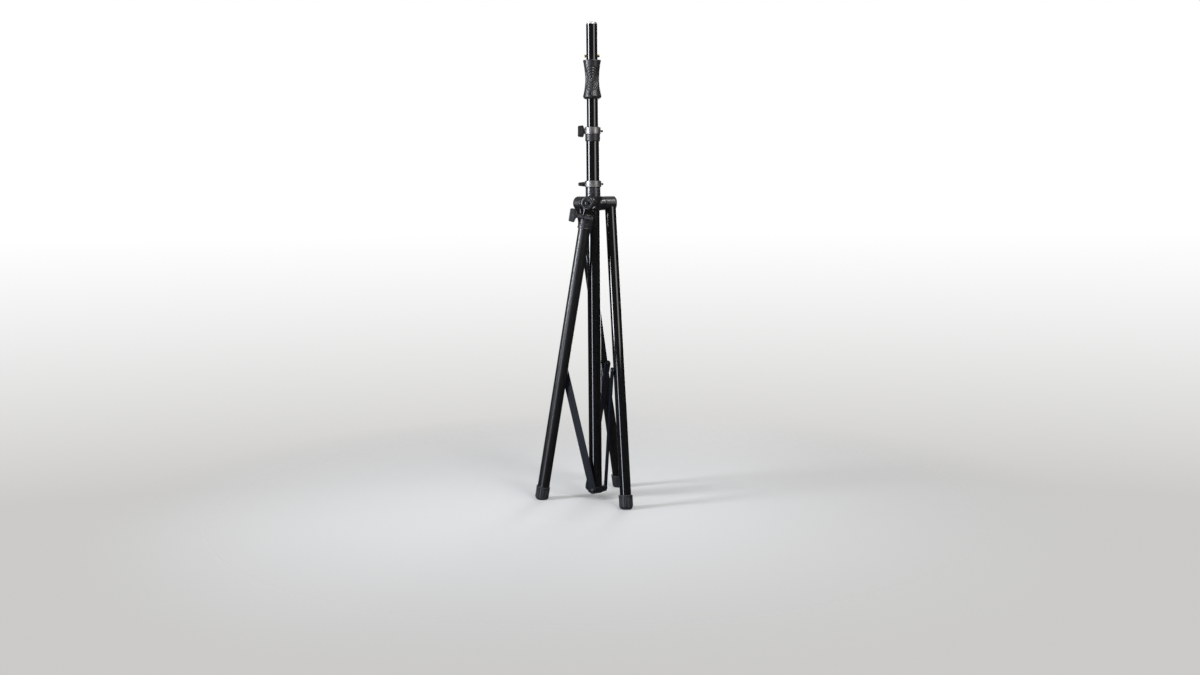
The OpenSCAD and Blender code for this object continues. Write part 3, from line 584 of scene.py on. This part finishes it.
def clamp_field(p):
    """The levelling clamp on its leg: a ribbed sleeve with ears outward along X, slit for its bolt."""
    r = np.hypot(p[0], p[1])
    solid = rod(p, 2, CLAMP_R, -CLAMP_LEN, 0, edge=1)
    for up in CLAMP_RIBS:
        middle = up - CLAMP_LEN
        rib = rod(p, 2, CLAMP_R + RIB_RISE, middle - RIB_HALF, middle + RIB_HALF, edge=0.7)
        solid = melt(solid, rib, fillet=0.6)
    at_bolt = moved(p, CLAMP_EAR_X, 0, -CLAMP_BOLT_DOWN)
    ears = rod(at_bolt, 1, CLAMP_EAR_R, -CLAMP_EAR_HALF, CLAMP_EAR_HALF, edge=1)
    web_half = (CLAMP_EAR_X / 2, CLAMP_EAR_HALF, CLAMP_EAR_R - 1)
    web = block(p, (CLAMP_EAR_X / 2, 0, -CLAMP_BOLT_DOWN), web_half, edge=1.5)
    solid = melt(solid, melt(ears, web, fillet=1.5), fillet=3)
    throat = p[2] > -CLAMP_THROAT
    solid = carve(solid, np.where(throat, r - LEG_R - CLAMP_THROAT_GAP, r - LEVEL_R), fillet=0.5)
    slit_half = (CLAMP_EAR_X, CLAMP_SLIT / 2, CLAMP_SLIT_LEN / 2 + CUT_PAST)
    slit = block(p, (CLAMP_EAR_X, 0, CUT_PAST - CLAMP_SLIT_LEN / 2), slit_half, edge=0.2)
    solid = carve(solid, slit, fillet=0.5)
    return np.maximum(solid, CLAMP_BOLT_R - np.hypot(at_bolt[0], at_bolt[2]))


class STAND_OT_collars(Operator):
    """Make the levelling clamp, and finish the collars, the clamp bands and what is hidden in the tubes"""
    bl_idname = "stand.collars"
    bl_label = "Collars and bands"

    def execute(self, context):
        finish = context.scene.stand_finish
        moulded = satin_plastic("collar_plastic", finish.collar, 0.42, gloss=0.6, haze=0.38)
        dress(["mast_collar"], moulded, edge=0.5)
        # The hub's collar is a lit copy of the same plastic: its colour is painted 1.4 times paler for the light
        # that falls on it, and its coat is glossier.
        paler = [1.4 * c for c in finish.collar]
        polished = satin_plastic("collar_plastic_painted_lit", paler, 0.36, gloss=1.0, haze=0.24)
        dress(["hub_collar"], polished, edge=0.5)
        side = CLAMP_R + 1
        low, high = (-side, -side, -CLAMP_LEN), (CLAMP_EAR_X + CLAMP_EAR_R, side, 0)
        clamp = skin(clamp_field, low, high, CLAMP_CELL)
        make_piece("levelling_clamp", clamp, leg_frame("level", CLAMP_AT * MM), moulded,
                   "level_sleeve", "level_clamp")
        band = bare_metal("clamp_metal", finish.band, 0.42)
        dress(["mast_clamp_band", "hub_clamp_band"], band, edge=0.6)
        nylon = satin_plastic("nylon", finish.nylon, 0.5)
        dress(["pole_guide", "hub_liner", "level_tube_glide"], nylon, edge=0.3)
        return {"FINISHED"}


def hub_field(p, fillet):
    """The hub casting: a ring with three round arms melted into it, bored for the liner."""
    solid = rod(p, 2, HUB_R, -HUB_HALF, HUB_HALF, edge=3)
    for turn in ARM_TURNS:
        solid = melt(solid, rod(turned(p, turn), 0, ARM_R, 0, ARM_END, edge=1.2), fillet)
    bore = np.hypot(p[0], p[1]) - MAST_R - LINER_WALL
    return carve(np.maximum(solid, np.abs(p[2]) - HUB_HALF), bore, fillet=1)


def knuckle_field(p, rounding):
    """A knuckle's barrel about X: square against the hub, round outside, with a well for its bolt."""
    start, end = KNUCKLE_FROM, KNUCKLE_FROM + KNUCKLE_LEN
    barrel = rod(p, 0, ARM_R, start - 2 * rounding, end, rounding)
    barrel = carve(barrel, p[0] - start, fillet=1)
    barrel = carve(barrel, rod(p, 0, WELL_R, end - WELL, end + CUT_PAST, edge=1.5), fillet=0.8)
    return np.maximum(barrel, BOLT_R + BOLT_GAP - np.hypot(p[1], p[2]))


def bracket_field(p):
    """The bracket, from the floor up: a cup round the mast's end and three lugs for the struts."""
    cup = rod(p, 2, BRACKET_R, BRACKET_LOW, BRACKET_HIGH, edge=2)
    side, top = LUG_HALF - LUG_ROUND, BRACKET_HIGH - LUG_DROP - LUG_ROUND
    low, slope = BRACKET_LOW + LUG_ROUND, BRACKET_LOW + LUG_SLOPE
    outline = [(-side, top), (-side, slope), (-side / 2, low), (side / 2, low), (side, slope), (side, top)]
    for turn in ARM_TURNS:
        lug = plate(turned(p, turn), 0, outline, LUG_FACE / 2, LUG_FACE / 2, LUG_ROUND, edge=1.2)
        cup = melt(cup, lug, fillet=4)
    bore = np.maximum(np.hypot(p[0], p[1]) - MAST_R - BRACKET_GAP, BRACKET_LOW + BRACKET_FLOOR - p[2])
    return carve(cup, bore, fillet=0.8)


class STAND_OT_castings(Operator):
    """Make the hub, the knuckles and the bracket"""
    bl_idname = "stand.castings"
    bl_label = "Castings"

    def execute(self, context):
        detail = context.scene.stand_detail
        casting = context.scene.stand_finish.casting
        glossy = cast_coat("black_casting", casting, 0.3)
        hazy = cast_coat("black_knuckle", casting, 0.34, gloss=0.8, haze=0.33)

        reach = np.hypot(ARM_END, ARM_R) + 1
        low, high = (-reach, -reach, -HUB_HALF), (reach, reach, HUB_HALF)
        hub = skin(lambda p: hub_field(p, detail.hub_fillet), low, high, detail.cell)
        make_piece("hub_body", hub, upright_frame(PIVOT_Z), glossy, "hub", "hub_casting")

        low, high = (KNUCKLE_FROM, -ARM_R, -ARM_R), (KNUCKLE_FROM + KNUCKLE_LEN, ARM_R, ARM_R)
        knuckle = skin(lambda p: knuckle_field(p, detail.knuckle_round), low, high, detail.cell)
        for leg in LEGS:
            make_piece(f"{leg}_knuckle_barrel", knuckle, leg_frame(leg), hazy,
                       f"{leg}_leg", f"{leg}_knuckle")

        reach = LUG_FACE + 6
        low, high = (-reach, -reach, BRACKET_LOW), (reach, reach, BRACKET_HIGH)
        bracket = skin(bracket_field, low, high, detail.cell)
        make_piece("foot_bracket", bracket, upright_frame(0), hazy,
                   "mast", "lower_bracket")
        return {"FINISHED"}


class STAND_OT_hardware(Operator):
    """Finish bolts, nuts, rivets, buttons and the cap"""
    bl_idname = "stand.hardware"
    bl_label = "Hardware"

    def execute(self, context):
        finish = context.scene.stand_finish
        zinc = bare_metal("zinc_hardware", finish.zinc)
        subparts = frame["record"]["subparts"]
        plated = [part["node"] for part in subparts if part["material_slot"] == "zinc_hardware"]
        dress(plated, zinc, edge=0.25)
        dress(["button_spring"], zinc, edge=0.2)
        brass = bare_metal("button_brass", finish.button)
        dress(["left_snap_button", "right_snap_button"], brass, edge=0.3)
        dress(["pole_cap"], bare_metal("cap_aluminium", finish.cap, 0.48), edge=0.4)
        return {"FINISHED"}


def knob_field(p, rounding):
    """A T-knob: a round stem that flares into a flat bar, with a shallow dish in its outer face."""
    swell, neck, taper = 4, 14, 1.2
    side = [(8, 3), (11, 6), (14.5, KNOB_HALF - swell), (KNOB_DEPTH - swell, KNOB_HALF - swell - 1)]
    bar = [(x, -y) for x, y in side] + side[::-1]
    half = KNOB_T / 2 - taper * np.clip((p[0] - neck) / neck, 0, 1)
    wing = plate(p, 1, bar, 0, half, swell, rounding)
    solid = melt(wing, rod(p, 0, KNOB_STEM_R, 0, neck + 2, edge=0.8), fillet=4)
    dish_out, dish_r = KNOB_DEPTH + 9, 10.2
    dish = np.sqrt((p[0] - dish_out) ** 2 + p[1] ** 2 + p[2] ** 2) - dish_r
    return carve(solid, dish, fillet=0.6)


def foot_outline(tube_r):
    """A foot's outline on its leg's axis: from under the floor, up its side and down its socket."""
    under, lip, row = 2, 0.6, 1.5
    sole = [(1, -under)] + arc(FOOT_R - FOOT_ROUND, FOOT_ROUND - under, FOOT_ROUND, -90, 0, steps=12)
    side = [(FOOT_R, z) for z in np.arange(FOOT_ROUND, FOOT_H - 6, row)]
    rim = [(FOOT_R, 5.6), (FOOT_R + lip, 4.6), (FOOT_R + lip, 1.4), (FOOT_R, 0.4), (FOOT_R - 0.8, 0)]
    socket = [(tube_r + lip, FOOT_H), (tube_r, FOOT_H - lip), (tube_r, FOOT_SOLE), (1, FOOT_SOLE)]
    return sole + side + [(r, FOOT_H - down) for r, down in rim] + socket


def flute_sink(r, z, angle, depth):
    """How far the flutes round a foot lie under its side: narrow, with wide ribs between them."""
    narrow, low, low_fade, high, high_fade = 0.9, 1, 3, FOOT_H - 6.5, 1.5
    wave = np.clip((0.5 - np.cos(angle * FLUTES) * 0.5) * (1 + narrow) - narrow, 0, 1)
    along = np.clip((z - low) / low_fade, 0, 1) * np.clip((high - z) / high_fade, 0, 1)
    outside = r > FOOT_R - 4
    return depth * wave * along * outside


def grip_outline():
    """The grip's outline on the pole: rounded foot, waist and flared top."""
    waist, flare, row, bevel, lip = GRIP_LEN / 2, 1.85, 0.7, 0.4, 1.4
    outline = [(POLE_R, bevel), (POLE_R + bevel, 0)]
    outline += arc(GRIP_LOW_R - GRIP_ROUND, GRIP_ROUND, GRIP_ROUND, -90, -15, steps=12)
    for z in np.arange(GRIP_ROUND, GRIP_LEN - lip, row):
        end, rim = (GRIP_ROUND, GRIP_LOW_R) if z < waist else (GRIP_LEN, GRIP_TOP_R)
        outline.append((GRIP_WAIST_R + (rim - GRIP_WAIST_R) * ((z - waist) / (end - waist)) ** flare, z))
    r = outline[-1][0]
    top = [(r - 0.2, 0.6), (r - 0.8, 0.1), (r - lip, 0), (POLE_R, 0)]
    return outline + [(r, GRIP_LEN - down) for r, down in top]


def grip_sink(r, z, angle, depth):
    """How far the grip's contour grooves and its screw hole lie under its surface."""
    up = z - GRIP_LEN / 2 - GROOVES_UP
    last_ring, fade = 1.04, 0.08
    sunk = np.zeros(np.broadcast(z, angle).shape)
    for side in GROOVE_SIDES:
        turn = (angle - side + pi) % (2 * pi) - pi
        ring = np.hypot(r * turn / GROOVES_WIDE, up / GROOVES_HIGH)
        inside = np.clip((last_ring - ring) / fade, 0, 1) * (np.cos(turn) > 0)
        sunk = np.maximum(sunk, inside * depth * (0.5 - 0.5 * np.cos(2 * pi * GROOVES * ring)))
    turn = (angle - GRIP_SCREW_TURN + pi) % (2 * pi) - pi
    hole = np.hypot(r * np.sin(turn), z - GRIP_SCREW_UP) - GRIP_SCREW_R
    well = np.clip(0.5 - hole / 2, 0, 1) * (np.cos(turn) > 0)
    outside = (r > POLE_R + 2) & (z > 2)
    return np.where(outside, np.maximum(sunk, GRIP_SCREW_WELL * well), 0)


class STAND_OT_handles(Operator):
    """Make the grip, the knobs and the feet"""
    bl_idname = "stand.handles"
    bl_label = "Grip, knobs and feet"

    def execute(self, context):
        finish, detail = context.scene.stand_finish, context.scene.stand_detail
        moulded = satin_plastic("grip_plastic", finish.grip, 0.46, gloss=0.75, haze=0.36)
        grip_turns = 380
        grip = lathe(grip_outline(), grip_turns, lambda *at: grip_sink(*at, detail.groove_depth))
        place = upright_frame(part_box("pole_grip")[0].z)
        make_piece("hand_grip", grip, place, moulded, "pole", "pole_grip", smooth_angle=70)

        charcoal = satin_plastic("knob_plastic", finish.knob, 0.45)
        low, high = (0, -KNOB_T / 2, -KNOB_HALF), (KNOB_DEPTH, KNOB_T / 2, KNOB_HALF)
        knob = skin(lambda p: knob_field(p, detail.knob_round), low, high, KNOB_CELL)
        places = {
            "mast_knob": (BAND_KNOB_BACK, (0, sin(MAST_KNOB_LEAN), cos(MAST_KNOB_LEAN))),
            "hub_knob": (BAND_KNOB_BACK, (0, 1, 0)),
            "level_knob": (LEVEL_KNOB_BACK, leg_frame("level").to_3x3().col[2]),
        }
        for name, (back, along) in places.items():
            place = knob_frame(name, back, along)
            make_piece(f"{name}_wing", knob, place, charcoal, name, name)

        tread = rubber("foot_rubber", finish.rubber)
        foot_turns = 20 * FLUTES
        for leg in LEGS:
            outline = foot_outline(LEVEL_R if leg == "level" else LEG_R)
            foot = closed_lathe(outline, foot_turns, lambda *at: flute_sink(*at, detail.flute_depth))
            body = "level_sleeve" if leg == "level" else f"{leg}_leg"
            make_piece(f"{leg}_rubber_foot", foot, leg_frame(leg, LEG_LEN * MM), tread,
                       body, f"{leg}_foot", on_floor=True)
        return {"FINISHED"}


# Stage

def make_floor(color):
    """A pale floor that fades into the backdrop away from the stand."""
    bpy.ops.mesh.primitive_circle_add(vertices=96, radius=FLOOR_R, fill_type="NGON",
                                      location=(MAST_AXIS.x, MAST_AXIS.y, 0))
    floor = bpy.context.object
    floor.name = "floor"
    paint = new_material("floor", color, 0.8)
    point = paint.node_tree.nodes.new("ShaderNodeTexCoord")
    far = paint.node_tree.nodes.new("ShaderNodeVectorMath")
    far.operation = "LENGTH"
    paint.node_tree.links.new(point.outputs["Object"], far.inputs[0])
    feed(paint, between(paint, far.outputs["Value"], 1, 0, FLOOR_FADE_FROM, FLOOR_FADE_TO), "Alpha")
    floor.data.materials.append(paint)
    floor.visible_glossy = False


def make_room(stage):
    """The backdrop that the camera and gloss see, white above eye level, and the even light on the rest."""
    world = bpy.data.worlds.new("room")
    world.use_nodes = True
    nodes, links = world.node_tree.nodes, world.node_tree.links
    even = nodes["Background"]
    even.inputs["Color"].default_value = (*stage.air_color, 1)
    even.inputs["Strength"].default_value = stage.air
    direction = nodes.new("ShaderNodeTexCoord")
    split = nodes.new("ShaderNodeSeparateXYZ")
    height = nodes.new("ShaderNodeMapRange")
    height.inputs["From Min"].default_value = BACKDROP_LOW
    height.inputs["From Max"].default_value = BACKDROP_WHITE
    shade = nodes.new("ShaderNodeMix")
    shade.data_type = "RGBA"
    shade.inputs["A"].default_value = (*stage.low_color, 1)
    shade.inputs["B"].default_value = (1, 1, 1, 1)
    seen = nodes.new("ShaderNodeBackground")
    path = nodes.new("ShaderNodeLightPath")
    both = nodes.new("ShaderNodeMath")
    every = nodes.new("ShaderNodeMath")
    every.use_clamp = True
    mix = nodes.new("ShaderNodeMixShader")
    links.new(direction.outputs["Generated"], split.inputs["Vector"])
    links.new(split.outputs["Z"], height.inputs["Value"])
    links.new(height.outputs["Result"], shade.inputs["Factor"])
    links.new(shade.outputs["Result"], seen.inputs["Color"])
    links.new(path.outputs["Is Camera Ray"], both.inputs[0])
    links.new(path.outputs["Is Glossy Ray"], both.inputs[1])
    links.new(both.outputs["Value"], every.inputs[0])
    links.new(path.outputs["Is Transmission Ray"], every.inputs[1])
    links.new(every.outputs["Value"], mix.inputs["Fac"])
    links.new(even.outputs["Background"], mix.inputs[1])
    links.new(seen.outputs["Background"], mix.inputs[2])
    links.new(mix.outputs["Shader"], nodes["World Output"].inputs["Surface"])
    bpy.context.scene.world = world


def make_walls(brightness):
    """A painted reflection round the stand: a dark glowing sheet that only gloss sees, brighter overhead, open
    behind the stand.
    """
    turns, rows = 85, 13
    points = []
    for rise in np.radians(np.linspace(-WALL_RISE, WALL_RISE, rows)):
        level = WALL_R * cos(rise)
        for turn in np.radians(np.linspace(-WALL_TURN, WALL_TURN, turns)):
            points.append((level * sin(turn), -level * cos(turn), WALL_R * sin(rise)))
    faces = []
    for i in range(rows - 1):
        for k in range(turns - 1):
            start = i * turns + k
            faces.append((start, start + 1, start + turns + 1, start + turns))
    mesh = bpy.data.meshes.new("reflection_walls")
    mesh.from_pydata(points, [], faces)
    reflection_sheet = bpy.data.materials.new("wall_reflection_glow")
    reflection_sheet.use_nodes = True
    glow = add_node(reflection_sheet, "ShaderNodeEmission")
    place = reflection_sheet.node_tree.nodes.new("ShaderNodeTexCoord")
    split = reflection_sheet.node_tree.nodes.new("ShaderNodeSeparateXYZ")
    links = reflection_sheet.node_tree.links
    links.new(place.outputs["Object"], split.inputs["Vector"])
    # Painted reflection: the sheet glows dimly, ten times brighter overhead, and lights nothing, since only gloss
    # sees it.
    strength = between(reflection_sheet, split.outputs["Z"], brightness, WALL_BRIGHTER * brightness,
                       WALL_DIM_TO, WALL_BRIGHT_FROM)
    links.new(strength, glow.inputs["Strength"])
    links.new(glow.outputs["Emission"], reflection_sheet.node_tree.nodes["Material Output"].inputs["Surface"])
    mesh.materials.append(reflection_sheet)
    walls = bpy.data.objects.new("reflection_walls", mesh)
    walls.location = (MAST_AXIS.x, MAST_AXIS.y, WALL_MIDDLE)
    for kind in ("camera", "diffuse", "transmission", "volume_scatter", "shadow"):
        setattr(walls, f"visible_{kind}", False)
    bpy.context.scene.collection.objects.link(walls)


def add_light(name, power, size, azimuth, elevation, distance, height, color):
    """A soft rectangular light that faces the mast at a height, turned by azimuth from the front."""
    lamp = bpy.data.lights.new(name, "AREA")
    lamp.shape = "RECTANGLE"
    lamp.size, lamp.size_y = size
    lamp.energy = power
    lamp.color = color
    lamp.spread = radians(140)
    light = bpy.data.objects.new(name, lamp)
    turn, rise = radians(azimuth), radians(elevation)
    level = distance * cos(rise)
    x, y = MAST_AXIS.x + level * sin(turn), MAST_AXIS.y - level * cos(turn)
    light.location = (x, y, height + distance * sin(rise))
    light.rotation_euler = (pi / 2 - rise, 0, turn)
    light.visible_camera = False
    bpy.context.scene.collection.objects.link(light)


class STAND_OT_stage(Operator):
    """Set the floor, the lights, the room and the camera"""
    bl_idname = "stand.stage"
    bl_label = "Stage"

    def execute(self, context):
        stage = context.scene.stand_stage
        scene = context.scene
        make_floor(stage.floor_color)
        make_room(stage)
        make_walls(stage.wall)
        add_light("key", stage.key, size=(0.52, 2.1), azimuth=-72, elevation=0, distance=2.3,
                  height=1.75, color=(0.91, 0.945, 1.0))
        add_light("fill", stage.fill, size=(1.3, 1.7), azimuth=45, elevation=12, distance=2.6,
                  height=1.3, color=(1.0, 0.98, 0.95))
        add_light("low", stage.low, size=(0.34, 1.6), azimuth=-38, elevation=0, distance=2.3,
                  height=0.0, color=(0.80, 0.86, 1.0))
        add_light("top", stage.top, size=(0.45, 0.4), azimuth=30, elevation=47, distance=2.3,
                  height=1.0, color=(1.0, 1.0, 1.0))
        add_light("back", stage.back, size=(0.6, 2.4), azimuth=163, elevation=0, distance=2.3,
                  height=1.2, color=(1.0, 1.0, 1.0))

        camera = bpy.data.objects.new("camera", bpy.data.cameras.new("camera"))
        camera.data.sensor_width = 36
        camera.data.lens = stage.lens
        camera.data.clip_start = 0.02
        camera.location = (MAST_AXIS.x + stage.side, MAST_AXIS.y - stage.distance, stage.height)
        down = Matrix.Rotation(pi / 2 - stage.tilt, 4, "X")
        camera.rotation_euler = (down @ Matrix.Rotation(stage.roll, 4, "Z")).to_euler()
        scene.collection.objects.link(camera)
        scene.camera = camera
        scene.view_settings.view_transform = "Standard"
        return {"FINISHED"}


# Panel and start

class STAND_PT_panel(Panel):
    """Sizes, colours and steps of the stand"""
    bl_label = "Speaker stand"
    bl_space_type = "VIEW_3D"
    bl_region_type = "UI"
    bl_category = "Speaker stand"

    def draw(self, context):
        for group in (context.scene.stand_stage, context.scene.stand_finish, context.scene.stand_detail):
            box = self.layout.box()
            for name in group.__annotations__:
                box.prop(group, name)
        for step in STEPS:
            self.layout.operator(step.bl_idname)


STEPS = (
    STAND_OT_stage, STAND_OT_tubes, STAND_OT_collars,
    STAND_OT_castings, STAND_OT_hardware, STAND_OT_handles,
)
CLASSES = (StageSettings, FinishSettings, DetailSettings) + STEPS + (STAND_PT_panel,)


def register():
    for cls in CLASSES:
        bpy.utils.register_class(cls)
    bpy.types.Scene.stand_stage = PointerProperty(type=StageSettings)
    bpy.types.Scene.stand_finish = PointerProperty(type=FinishSettings)
    bpy.types.Scene.stand_detail = PointerProperty(type=DetailSettings)


def unregister():
    del bpy.types.Scene.stand_stage
    del bpy.types.Scene.stand_finish
    del bpy.types.Scene.stand_detail
    for cls in reversed(CLASSES):
        bpy.utils.unregister_class(cls)


def main():
    register()
    for step in STEPS:
        getattr(bpy.ops.stand, step.bl_idname.split(".")[1])()


if __name__ == "__main__":
    main()
